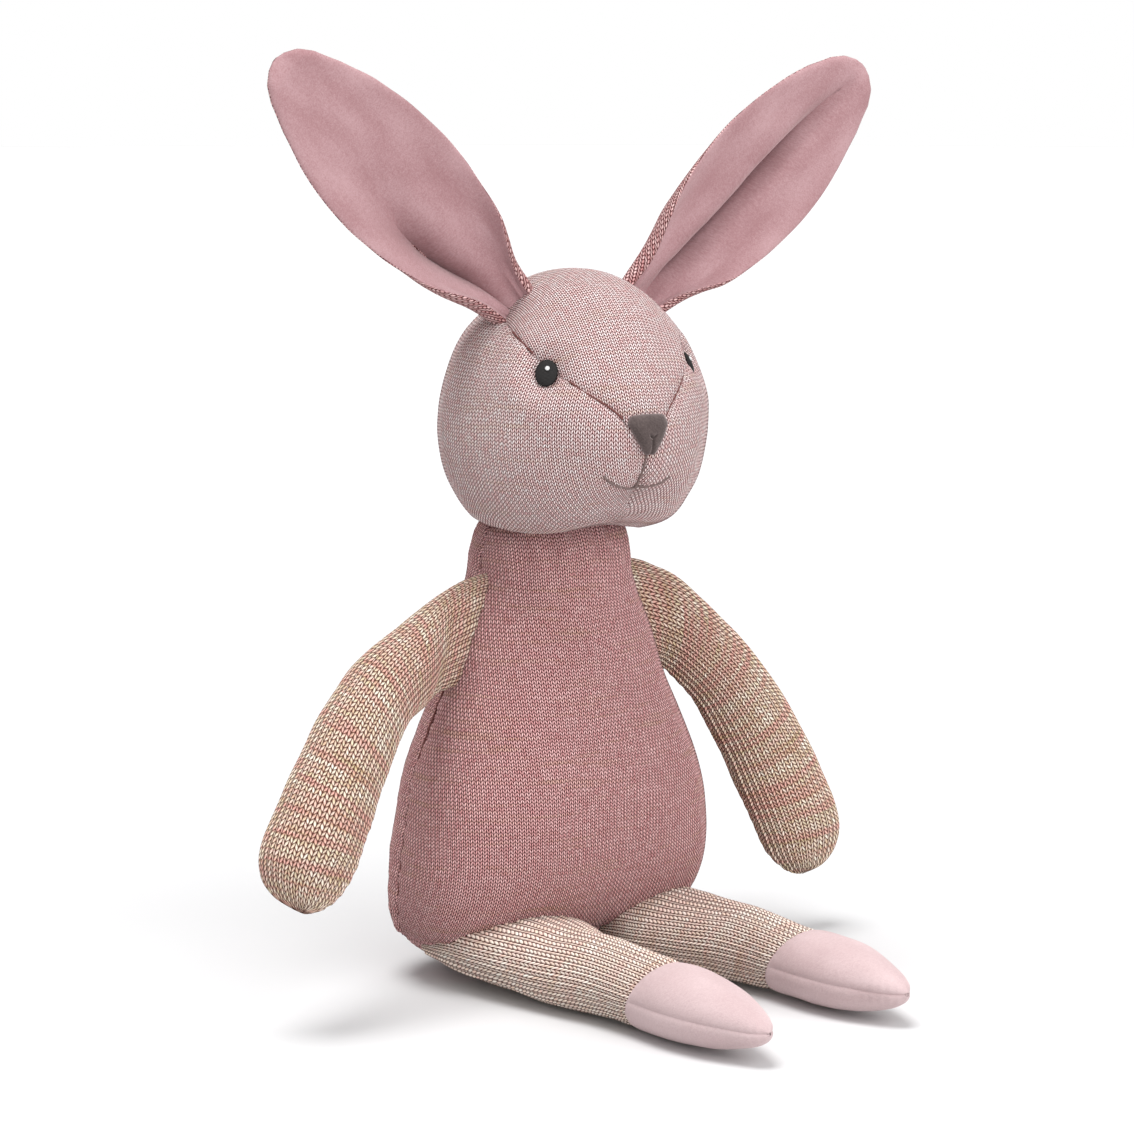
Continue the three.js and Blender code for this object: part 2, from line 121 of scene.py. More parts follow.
# Ears: share of the length, half width as it lies, how far each edge is rolled forward.
EAR = [
    [-0.05, 6.4, 2.5], [0, 7.4, 2.6], [0.06, 9, 2.6], [0.12, 11.6, 2.4], [0.19, 15, 2.0],
    [0.27, 18, 1.45], [0.38, 20.6, 1.0], [0.5, 21.8, 0.75], [0.62, 21.2, 0.62], [0.74, 18.6, 0.55],
    [0.85, 14.8, 0.5], [0.93, 10.8, 0.45], [0.97, 7.6, 0.4], [0.992, 4, 0.35], [1, 1.2, 0.3],
]
# The crease down each ear: share of the length, where it lies across, its depth and its width.
EAR_CREASE = {
    "left": [
        [-0.05, 0.1, 1, 0.25], [0.05, 0.1, 6, 0.22], [0.18, 0.14, 12, 0.17], [0.38, 0.1, 13, 0.15],
        [0.6, 0.04, 11, 0.16], [0.8, 0, 6.5, 0.22], [0.97, 0, 0, 0.3],
    ],
    "right": [
        [-0.05, -0.1, 1, 0.25], [0.06, -0.15, 7, 0.22], [0.17, -0.24, 13, 0.19],
        [0.28, -0.32, 11, 0.22], [0.42, -0.34, 4.5, 0.3], [0.6, -0.2, 1, 0.4], [1, 0, 0, 0.4],
    ],
}


# ---- curves and noise --------------------------------------------------------------------------
def through(rows, u):
    """A smooth curve through rows of numbers at each u, from 0 to the number of rows less 1."""
    rows = np.asarray(rows, float)
    last = len(rows) - 1
    u = np.clip(np.asarray(u, float), 0, last)
    i = np.minimum(np.floor(u).astype(int), last - 1)
    t = (u - i)[..., None]
    a, b, c, d = (rows[np.clip(i + k, 0, last)] for k in (-1, 0, 1, 2))
    bend = 2 * a - 5 * b + 4 * c - d
    twist = -a + 3 * b - 3 * c + d
    return 0.5 * (2 * b + (c - a) * t + bend * t**2 + twist * t**3)


def look_up(pairs, x):
    """The values at x of a smooth curve through rows that start with their own x, in rising x."""
    pairs = np.asarray(pairs, float)
    return through(pairs[:, 1:], np.interp(x, pairs[:, 0], np.arange(len(pairs))))


LATTICE = np.random.default_rng(7).uniform(-1, 1, (32, 32, 32))


def noise(points, size, shift=0.0):
    """Smooth noise between -1 and 1 with bumps about size mm across."""
    p = points / size + shift * 7.31
    low = np.floor(p).astype(int)
    f = p - low
    f = f * f * (3 - 2 * f)
    total = 0
    for corner in range(8):
        step = np.array([(corner >> k) & 1 for k in range(3)])
        weight = np.prod(np.where(step, f, 1 - f), axis=-1)
        at = (low + step) % 32
        total = total + weight * LATTICE[at[..., 0], at[..., 1], at[..., 2]]
    return total


def fade(x, start, end):
    """Rises smoothly from 0 at start to 1 at end."""
    t = np.clip((x - start) / (end - start), 0, 1)
    return t * t * (3 - 2 * t)


# ---- cloth -------------------------------------------------------------------------------------
class Cloth:
    """Points, faces and flat fabric coordinates, in mm, made from one grid or joined from several."""

    def __init__(self, points, flat, ids=None):
        rows, cols = points.shape[:2]
        if ids is None:
            ids = np.arange(rows * cols).reshape(rows, cols)
        grid = np.arange(rows * cols).reshape(rows, cols)
        corners = [slice(None, -1), slice(None, -1)], [slice(None, -1), slice(1, None)], \
            [slice(1, None), slice(1, None)], [slice(1, None), slice(None, -1)]
        vertex = np.stack([ids[a, b].ravel() for a, b in corners], 1)
        place = np.stack([grid[a, b].ravel() for a, b in corners], 1)
        same = vertex == np.roll(vertex, -1, 1)
        merged = same.sum(1)
        quads = merged == 0
        self.faces = [(vertex[quads], place[quads])]
        for k in range(4):
            pick = (merged == 1) & same[:, k]
            keep = [j for j in range(4) if j != k]
            self.faces.append((vertex[pick][:, keep], place[pick][:, keep]))
        used, back = np.unique(
            np.concatenate([v.ravel() for v, _ in self.faces]), return_inverse=True)
        self.flat = flat.reshape(-1, 2)
        done = 0
        fresh = []
        for v, g in self.faces:
            fresh.append((back[done:done + v.size].reshape(v.shape), g))
            done += v.size
        self.faces = fresh
        self.points = points.reshape(-1, 3)[used].copy()
        self.at = self.flat[used].copy()

    def join(self, other):
        vertices, places = len(self.points), len(self.flat)
        self.faces += [(v + vertices, g + places) for v, g in other.faces]
        self.points = np.concatenate([self.points, other.points])
        self.flat = np.concatenate([self.flat, other.flat])
        self.at = np.concatenate([self.at, other.at])
        return self

    def normals(self):
        total = np.zeros_like(self.points)
        for v, _ in self.faces:
            if not len(v):
                continue
            p = self.points[v]
            across = p[:, 2] - p[:, 0]
            other = p[:, 3] - p[:, 1] if v.shape[1] == 4 else p[:, 2] - p[:, 1]
            way = np.cross(across, other)
            for k in range(v.shape[1]):
                for axis in range(3):
                    total[:, axis] += np.bincount(v[:, k], way[:, axis], len(self.points))
        return total / np.maximum(np.linalg.norm(total, axis=1, keepdims=True), 1e-9)

    def lift(self, amount):
        """Moves each point out by amount, which is one number or one for each point."""
        self.points += self.normals() * np.broadcast_to(amount, len(self.points))[:, None]
        return self

    def flip(self):
        self.faces = [(v[:, ::-1], g[:, ::-1]) for v, g in self.faces]
        return self

    def make(self, name, material):
        mesh = bpy.data.meshes.new(name)
        faces = [(v, g) for v, g in self.faces if len(v)]
        loops = np.concatenate([v.ravel() for v, _ in faces])
        places = np.concatenate([g.ravel() for _, g in faces])
        sizes = np.concatenate([np.full(len(v), v.shape[1]) for v, _ in faces])
        mesh.vertices.add(len(self.points))
        mesh.vertices.foreach_set("co", (self.points * MM).ravel())
        mesh.loops.add(len(loops))
        mesh.loops.foreach_set("vertex_index", loops.astype(np.int32))
        mesh.polygons.add(len(sizes))
        starts = np.concatenate([[0], np.cumsum(sizes)[:-1]]).astype(np.int32)
        mesh.polygons.foreach_set("loop_start", starts)
        mesh.update(calc_edges=True)
        layer = mesh.uv_layers.new(name="fabric")
        layer.data.foreach_set("uv", self.flat[places].ravel())
        mesh.polygons.foreach_set("use_smooth", np.ones(len(sizes), bool))
        mesh.materials.append(material)
        mesh.validate()
        item = bpy.data.objects.new(name, mesh)
        bpy.context.scene.collection.objects.link(item)
        return item


def even_columns(curves, middle, low, high, rows_at):
    """A grid from one fine curve for each row, with columns at even distances from its middle.
    low and high are where each curve's cloth ends, as distances along it."""
    steps = np.linalg.norm(np.diff(curves, axis=1), axis=2)
    run = np.concatenate([np.zeros((len(curves), 1)), np.cumsum(steps, 1)], 1)
    run -= run[np.arange(len(curves)), middle][:, None]
    gap = WALE / PER_WALE
    low, high = low(run), high(run)
    columns = np.arange(math.floor(low.min() / gap), math.ceil(high.max() / gap) + 1)
    wanted = columns * gap
    points = np.empty((len(curves), len(columns), 3))
    flat = np.empty((len(curves), len(columns), 2))
    ids = np.arange(points.shape[0] * points.shape[1]).reshape(points.shape[:2])
    for r, curve in enumerate(curves):
        held = np.clip(wanted, low[r], high[r])
        for axis in range(3):
            points[r, :, axis] = np.interp(held, run[r], curve[:, axis])
        flat[r, :, 0] = held
        flat[r, :, 1] = rows_at[r]
        first = max(np.searchsorted(wanted, low[r], side="right") - 1, 0)
        last = min(np.searchsorted(wanted, high[r]), len(columns) - 1)
        ids[r, :first] = ids[r, first]
        ids[r, last:] = ids[r, last]
    return Cloth(points, flat, ids)


class Seams:
    """Lines on a surface that the cloth is pulled in along."""

    def __init__(self, *lines):
        self.points = np.concatenate(lines)
        runs = []
        for k, line in enumerate(lines):
            steps = np.linalg.norm(np.diff(line, axis=0), axis=1)
            runs.append(np.concatenate([[0], np.cumsum(steps)]) + 400 * k)
        self.run = np.concatenate(runs)
        self.tree = kdtree.KDTree(len(self.points))
        for i, p in enumerate(self.points):
            self.tree.insert(p, i)
        self.tree.balance()

    def near(self, points):
        """(how far each point is from the nearest seam, how far along it that is)"""
        found = [self.tree.find(p)[1:] for p in points]
        return np.array([f[1] for f in found]), self.run[[f[0] for f in found]]

    def pull(self, points, depth, width, pucker=0.35, pitch=4.2):
        """The groove of a stuffed seam, with small puckers where the stitches draw it in."""
        away, along = self.near(points)
        groove = depth * np.exp(-((away / width) ** 0.8))
        ripple = np.sin(2 * math.pi * along / pitch + 1.7 * np.sin(along / 9.0))
        return -groove + pucker * ripple * np.exp(-away / (2.2 * width)) * fade(away, 0, 1.2)


def wales(cloth, height=0.12, wale=WALE):
    """The ridges of the knit columns."""
    return -height * np.cos(2 * math.pi * cloth.at[:, 0] / wale)


# ---- materials ---------------------------------------------------------------------------------
def linear(*rgb):
    """An sRGB colour of 0 to 255 as the shader's own numbers."""
    return [(c / 255 / 12.92 if c <= 10 else ((c / 255 + 0.055) / 1.055) ** 2.4) for c in rgb] + [1]


class Shader:
    """A node material, with short ways to add its nodes."""

    def __init__(self, name, roughness=0.95, sheen=0.0, sheen_tint=(1, 1, 1, 1), specular=0.25):
        self.material = bpy.data.materials.new(name)
        self.material.use_nodes = True
        self.tree = self.material.node_tree
        self.shader = self.tree.nodes["Principled BSDF"]
        self.shader.inputs["Roughness"].default_value = roughness
        self.shader.inputs["Sheen Weight"].default_value = sheen
        self.shader.inputs["Sheen Roughness"].default_value = 0.45
        self.shader.inputs["Sheen Tint"].default_value = sheen_tint
        self.shader.inputs["Specular IOR Level"].default_value = specular
        fabric = self.node("ShaderNodeUVMap")
        fabric.uv_map = "fabric"
        apart = self.node("ShaderNodeSeparateXYZ", fabric.outputs[0])
        self.u, self.v = apart.outputs[0], apart.outputs[1]

    def node(self, kind, *inputs, **settings):
        node = self.tree.nodes.new(kind)
        for key, value in settings.items():
            setattr(node, key, value)
        for socket, value in zip(node.inputs, inputs):
            self.put(socket, value)
        return node

    def put(self, socket, value):
        if isinstance(value, bpy.types.NodeSocket):
            self.tree.links.new(value, socket)
        elif value is not None:
            socket.default_value = value

    def do(self, operation, a, b=None, clamp=False):
        node = self.node("ShaderNodeMath", a, b, operation=operation, use_clamp=clamp)
        return node.outputs[0]

    def at(self, x, y, z=0.0):
        return self.node("ShaderNodeCombineXYZ", x, y, z).outputs[0]

    def cloud(self, where, scale, detail=2.0, rough=0.5):
        node = self.node("ShaderNodeTexNoise")
        self.put(node.inputs["Vector"], where)
        node.inputs["Scale"].default_value = scale
        node.inputs["Detail"].default_value = detail
        node.inputs["Roughness"].default_value = rough
        return node.outputs["Fac"]

    def dice(self, where):
        node = self.node("ShaderNodeTexWhiteNoise", where, noise_dimensions="3D")
        return node.outputs["Value"]

    def spread(self, value, low, high):
        """value from low to high, as 0 to 1."""
        node = self.node("ShaderNodeMapRange", value, low, high, 0.0, 1.0)
        node.interpolation_type = "SMOOTHSTEP"
        return node.outputs[0]

    def mix(self, share, a, b):
        node = self.node("ShaderNodeMix", data_type="RGBA")
        self.put(node.inputs[0], share)
        self.put(node.inputs[6], a)
        self.put(node.inputs[7], b)
        return node.outputs[2]

    def finish(self, colour, height, strength, distance_mm):
        self.tree.links.new(colour, self.shader.inputs["Base Color"])
        bump = self.node("ShaderNodeBump")
        bump.inputs["Strength"].default_value = strength
        bump.inputs["Distance"].default_value = distance_mm * MM
        self.tree.links.new(height, bump.inputs["Height"])
        self.tree.links.new(bump.outputs[0], self.shader.inputs["Normal"])
        return self.material


def knit(name, yarns, hole_shade, course=1.15, bands=0.3, band_yarn=None, marl=0.0, wale=WALE, rib=0.0):
    """Stockinette: columns of V stitches, in a melange of yarns from dark to light, with painted shade
    in the hollows between the stitches.
    """
    s = Shader(name, 0.96, 0.12, linear(255, 230, 226), 0.12)
    across = s.do("DIVIDE", s.u, wale)
    side = s.do("ABSOLUTE", s.do("SUBTRACT", s.do("FRACT", across), 0.5))
    wander = s.cloud(s.at(s.u, s.v), 0.06, 1.0)
    raised = s.do("ADD", s.do("DIVIDE", s.v, course), s.do("MULTIPLY", wander, 2.5))
    rise = s.do("SUBTRACT", raised, s.do("MULTIPLY", side, 1.7))
    leg = s.do("POWER", s.do("SINE", s.do("MULTIPLY", side, 2 * math.pi), clamp=True), 0.6)
    strand = s.do("SINE", s.do("MULTIPLY", s.do("FRACT", rise), math.pi), clamp=True)
    height = s.do("MULTIPLY", leg, s.do("ADD", s.do("MULTIPLY", strand, 0.75 - rib), 0.25 + rib))
    row = s.do("FLOOR", rise)
    cell = s.do("FLOOR", s.do("MULTIPLY", across, 2.0))
    own = s.dice(s.at(cell, row, 0.3))
    fibre = s.cloud(s.at(s.do("MULTIPLY", s.u, 0.3), s.do("MULTIPLY", row, 3.1)), 1.0, 2.0, 0.6)
    melange = s.do("ADD", s.do("MULTIPLY", own, 0.3), s.do("MULTIPLY", fibre, 0.8))
    colour = s.mix(s.spread(melange, 0.2, 0.9), yarns[0], yarns[1])
    if marl:
        stripe = s.at(s.do("MULTIPLY", s.u, 0.02), s.do("MULTIPLY", s.v, 0.45))
        share = s.spread(s.cloud(stripe, 1.0, 3.0, 0.6), 0.4, 0.66)
        pink = s.dice(s.at(cell, row, 7.7))
        share = s.do("ADD", s.do("MULTIPLY", share, marl), s.do("MULTIPLY", pink, 0.35), clamp=True)
        colour = s.mix(share, colour, s.mix(fibre, yarns[2], yarns[3]))
    if band_yarn:
        stretch = s.at(s.do("MULTIPLY", s.u, 0.03), s.do("MULTIPLY", s.v, 0.35), 3.0)
        band = s.spread(s.cloud(stretch, 1.0, 4.0, 0.7), 0.5, 0.7)
        colour = s.mix(s.do("MULTIPLY", band, bands), colour, band_yarn)
    # Painted shade: the colour falls to the dark shade colour where the stitch height is low, in the
    # hollows between the strands.
    colour = s.mix(s.spread(height, 0.24, 0.8), hole_shade, colour)
    fuzz = s.cloud(s.at(s.u, s.v), 3.2, 2.0, 0.7)
    return s.finish(colour, s.do("ADD", height, s.do("MULTIPLY", fuzz, 0.25)), 1.0, 0.6)


def velour(name, light, dark, sheen=0.35, strength=0.35):
    """Short soft pile that lies a little this way and that, with painted sheen in long lighter and
    darker patches.
    """
    s = Shader(name, 0.92, sheen, linear(255, 236, 236), 0.15)
    where = s.at(s.u, s.v)
    pile = s.cloud(where, 1.9, 3.0, 0.75)
    tuft = s.cloud(where, 0.75, 2.0, 0.6)
    # Painted sheen: these long patches lighten and darken the colour as the pile would catch the light;
    # pile and tuft vary the tone at random.
    brushed_sheen = s.cloud(s.at(s.do("MULTIPLY", s.u, 0.09), s.do("MULTIPLY", s.v, 0.035)), 1.0, 2.0, 0.5)
    tone = s.do("ADD", s.do("MULTIPLY", pile, 0.5), s.do("MULTIPLY", brushed_sheen, 0.5))
    tone = s.do("ADD", tone, s.do("MULTIPLY", tuft, 0.2))
    colour = s.mix(s.spread(tone, 0.42, 0.8), dark, light)
    return s.finish(colour, s.do("ADD", pile, tuft), strength, 0.3)


def thread(name, light, dark, roughness=0.55, sheen=0.1):
    """Embroidery thread: fine twisted strands, with painted shade in the grooves between them."""
    s = Shader(name, roughness, sheen, (1, 1, 1, 1), 0.4)
    turn = s.do("ADD", s.do("MULTIPLY", s.v, 9.0), s.do("MULTIPLY", s.u, 3.0))
    strand = s.do("ABSOLUTE", s.do("SINE", turn))
    grain = s.cloud(s.at(s.u, s.v), 4.0, 2.0)
    # Painted shade: the colour darkens in the grooves between the strands, where the bump height is
    # low, varied by a random grain.
    tone = s.do("MULTIPLY", strand, s.do("ADD", grain, 0.45), clamp=True)
    return s.finish(s.mix(tone, dark, light), strand, 0.5, 0.15)


# The third colour of each knit is painted shade for the hollows between the stitches.
HEAD_KNIT = knit("head_knit", [linear(240, 198, 197), linear(255, 244, 243)],
                 linear(92, 32, 32), band_yarn=linear(228, 202, 172), bands=0.4)
BODY_KNIT = knit("body_knit", [linear(218, 154, 155), linear(250, 202, 201)],
                 linear(66, 8, 12), band_yarn=linear(212, 172, 142), bands=0.5)
MARL_KNIT = knit("marl_knit", [linear(206, 187, 151), linear(248, 241, 226), linear(198, 139, 125),
                               linear(231, 186, 176)],
                 linear(84, 44, 32), course=1.6, band_yarn=linear(178, 159, 108), bands=0.65,
                 marl=0.85, wale=ARM_WALE, rib=0.05)
LEG_KNIT = knit("leg_knit", [linear(238, 218, 198), linear(255, 251, 242), linear(226, 180, 168),
                             linear(248, 220, 210)],
                linear(80, 36, 24), course=1.6, band_yarn=linear(206, 170, 138), bands=0.5,
                marl=0.55, wale=LEG_WALE, rib=0.12)
# Painted shade: the ear backs are the head's yarn, and this darker copy of it stands in for the shade
# at the ear roots and rolled edges.
SHADED_EAR_KNIT = knit("ear_knit_shaded", [linear(190, 130, 130), linear(240, 204, 202)],
                linear(90, 34, 36))
LINING = velour("ear_velour", linear(174, 141, 144), linear(147, 109, 112))
FOOT_VELOUR = velour("foot_velour", linear(196, 175, 176), linear(180, 157, 158))
NOSE_VELOUR = velour("nose_velour", linear(91, 80, 78), linear(62, 53, 52), 0.5, 0.5)
GREY_THREAD = thread("grey_thread", linear(126, 104, 100), linear(72, 56, 54))
BLACK_THREAD = thread("black_thread", linear(17, 12, 11), linear(4, 3, 3), 0.7, 0.0)
WHITE_THREAD = thread("white_thread", linear(222, 222, 222), linear(170, 170, 170))
NECK_THREAD = thread("neck_thread", linear(214, 174, 174), linear(160, 112, 112), 0.8)
# Painted shade: a dark cord sunk into the seam grooves, darkening the seam lines as their shadow would.
SEAM_SHADE_CORD = thread("seam_shade_cord", linear(120, 74, 70), linear(80, 42, 40), 0.9, 0.0)


def show(item, body, replaced=(), blend=None):
    """Hands a finished piece over to the frame: parents it to its body's empty, or, when blend is
    given, only bakes its transform into the mesh; then hides the frame parts it replaces.
    """
    if blend:
        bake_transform(item)
    else:
        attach(item, body)
    if replaced:
        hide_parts(*replaced)
    return item


# ---- torso -------------------------------------------------------------------------------------
SEAT_SEAM = 13
SIDE_SEAM = math.radians(103)  # how far round from the middle of the front
heights_of = through(TORSO, np.linspace(0, len(TORSO) - 1, 800))[:, 0]


def torso_ring(z, angle):
    """Points round the torso at each height, with angle 0 at the middle of the front."""
    u = np.interp(z, heights_of, np.linspace(0, len(TORSO) - 1, 800))
    _, wide, deep, back, power = through(TORSO, u).T[:, :, None]
    sine, cosine = np.sin(angle)[None], np.cos(angle)[None]
    x = wide * np.sign(sine) * np.abs(sine) ** power
    y = back - deep * np.sign(cosine) * np.abs(cosine) ** power
    return np.stack([x, y, np.broadcast_to(np.asarray(z, float)[:, None], x.shape)], -1)


def torso():
    heights = np.arange(SEAT_SEAM, 155.1, 2)
    across = np.linspace(-1, 1, 721)
    side = torso_ring(heights, np.array([SIDE_SEAM]))[:, 0]
    bottom = torso_ring(np.array([SEAT_SEAM]), np.linspace(-math.pi, math.pi, 900))[0]
    sides = Seams(side, side * [-1, 1, 1], bottom)
    pieces = []
    for angles in (SIDE_SEAM * across, math.pi + (math.pi - SIDE_SEAM) * across):
        rings = torso_ring(heights, angles)
        cloth = even_columns(rings, np.full(len(heights), 360), lambda run: run[:, 0],
                             lambda run: run[:, -1], heights)
        p = cloth.points
        soft = 0.9 * noise(p, 34, 1) + 0.45 * noise(p, 13, 2)
        soft *= fade(p[:, 2], 14, 30)
        gathers = 0.5 * np.sin(p[:, 0] * 0.9 + noise(p, 20) * 2) * fade(p[:, 2], 122, 146)
        cloth.lift(soft + gathers + sides.pull(p, 2.1, 3.0, 0.55, 6.5) + wales(cloth))
        pieces.append(cloth)
    around = np.linspace(-math.pi, math.pi, 361)
    low = torso_ring(np.array([SEAT_SEAM, 11, 9, 7, 5, 3.5, 2, 1, 0.4, 0.0]), around)
    middle = low[-1].mean(0)
    flat_rings = np.stack([middle + (low[-1] - middle) * k for k in (0.94, 0.8, 0.6, 0.4, 0.2, 0.01)])
    grid = np.concatenate([low, flat_rings])
    run = np.concatenate([[0], np.cumsum(np.linalg.norm(np.diff(low[3], axis=0), axis=1))])
    flat = np.stack([np.broadcast_to(run, grid.shape[:2]),
                     np.broadcast_to(-np.arange(len(grid))[:, None] * 2.0, grid.shape[:2])], -1)
    ids = np.arange(grid.shape[0] * grid.shape[1]).reshape(grid.shape[:2])
    ids[:, -1] = ids[:, 0]
    under = Cloth(grid, flat, ids).flip()
    p = under.points
    under.lift(sides.pull(p, 2.1, 3.4, 0.4, 6.5) * fade(p[:, 2], 2, 12))
    front, back = pieces
    back.join(under)
    show(front.make("torso_front_panel", BODY_KNIT), "torso",
         ["body_front", "body_stuffing"])
    show(back.make("torso_back_panel", BODY_KNIT), "torso", ["body_back"])
    # Dark cords sunk into the side seams: painted shade in the seam grooves.
    for name, way in SIDES:
        line = side[:64] * [way, 1, 1] - [way * 1.9, 0.4, 0]
        show(rope(line, 0.4, 2).make("side_seam_shade_" + name, SEAM_SHADE_CORD), "torso")


# ---- neck --------------------------------------------------------------------------------------
def neck():
    outer = [(34.4, a) for a in np.linspace(0, 44, 12)]
    rim = [(33.8, 47), (32.6, 49), (31.4, 49), (30.6, 47)]
    inner = [(30.4, a) for a in np.linspace(44, 0, 12)]
    profile = np.array(outer + rim + inner)
    around = np.linspace(0, 2 * math.pi, 241)
    angle = np.radians(profile[:, 1])[:, None]
    gather = 1 + 0.006 * np.sin(around * 40) * (profile[:, 1:] > 20)
    r = profile[:, :1] * gather
    x, y = r * np.sin(angle) * np.cos(around), r * np.sin(angle) * np.sin(around)
    points = np.stack([x, y, r * np.cos(angle)], -1) + NECK_PIVOT
    ids = np.arange(points.shape[0] * points.shape[1]).reshape(points.shape[:2])
    ids[:, -1] = ids[:, 0]
    ids[0], ids[-1] = ids[0, 0], ids[-1, 0]
    flat = np.stack(np.broadcast_arrays(around * 26, profile[:, 1:] * 0.6), -1)
    ring = Cloth(points, flat, ids)
    show(ring.flip().make("neck_stuffing_cover", BODY_KNIT), "neck",
         ["neck_stuffing"])
    count = 46
    path = []
    for k in range(count * 6 + 1):
        turn = 2 * math.pi * k / (count * 6)
        swing = math.radians(47.5 + 2.2 * math.sin(math.pi * k / 3))
        r = 33.6
        path.append([r * math.sin(swing) * math.cos(turn), r * math.sin(swing) * math.sin(turn),
                     r * math.cos(swing)])
    stitches = rope(np.array(path) + NECK_PIVOT, 0.45, bead=6)
    show(stitches.make("neck_ladder_stitches", NECK_THREAD), "neck",
         ["neck_stitches"])


def rope(path, radius, bead=None, around=10):
    """A closed tube along a path, thinner where one stitch ends and the next begins."""
    ahead = np.gradient(path, axis=0)
    ahead /= np.linalg.norm(ahead, axis=1, keepdims=True)
    out = path - path.mean(0) + 1e-3
    out -= ahead * (out * ahead).sum(1, keepdims=True)
    out /= np.linalg.norm(out, axis=1, keepdims=True)
    side = np.cross(ahead, out)
    k = np.arange(len(path))
    size = np.full(len(path), radius)
    if bead:
        size = radius * (0.62 + 0.38 * np.abs(np.sin(math.pi * k / bead)) ** 0.6)
    size[0] = size[-1] = 0.01
    turn = np.linspace(0, 2 * math.pi, around + 1)
    ring = (np.cos(turn)[None, :, None] * out[:, None] + np.sin(turn)[None, :, None] * side[:, None])
    points = path[:, None] + size[:, None, None] * ring
    run = np.concatenate([[0], np.cumsum(np.linalg.norm(np.diff(path, axis=0), axis=1))])
    flat = np.stack(np.broadcast_arrays(turn[None] * radius, run[:, None]), -1)
    ids = np.arange(points.shape[0] * points.shape[1]).reshape(points.shape[:2])
    ids[:, -1] = ids[:, 0]
    ids[0], ids[-1] = ids[0, 0], ids[-1, 0]
    return Cloth(points, flat, ids).flip()


# ---- head --------------------------------------------------------------------------------------
TURN = np.array([[math.cos(HEAD_TURN), -math.sin(HEAD_TURN), 0],
                 [math.sin(HEAD_TURN), math.cos(HEAD_TURN), 0], [0, 0, 1]])


def in_row(points):
    """From the head's own frame to the row frame."""
    return points @ TURN.T + HEAD_CENTRE


PIVOT_IN_HEAD = (NECK_PIVOT - HEAD_CENTRE) @ TURN


def way_to(lon, lat):
    a, b = np.radians(lon), np.radians(lat)
    return np.stack(np.broadcast_arrays(
        np.sin(a) * np.cos(b), -np.cos(a) * np.cos(b), np.sin(b)), -1)


MUZZLE_WAY = way_to(0, MUZZLE["lat"])


def on_head_along(way, lift=0.0):
    lat = np.degrees(np.arcsin(np.clip(way[..., 2], -1, 1)))
    off = np.degrees(np.arccos(np.clip(way @ MUZZLE_WAY, -1, 1))) / MUZZLE["spread"]
    radius = look_up(HEAD, lat)[..., 0] + MUZZLE["rise"] * np.exp(-off * off)
    return way * (radius + lift)[..., None]


def on_head(lon, lat, lift=0.0):
    return on_head_along(way_to(lon, lat), lift)


def fan(angle, across):
    """The way to a point at an angle over the head from the nose, turned sideways by across."""
    a, b = np.radians(angle), np.radians(across)
    return np.stack(np.broadcast_arrays(
        np.sin(b), -np.cos(b) * np.cos(a), np.cos(b) * np.sin(a)), -1)


def gusset_edge(angle):
    """Points on the left edge of the head's top gusset."""
    half = look_up(GUSSET, angle)[:, 0]
    across = np.full(len(angle), 30.0)
    for _ in range(12):
        p = on_head_along(fan(angle, across))
        across = np.degrees(np.arcsin(np.clip(half / np.linalg.norm(p, axis=1), -1, 1)))
    return on_head_along(fan(angle, across)), across


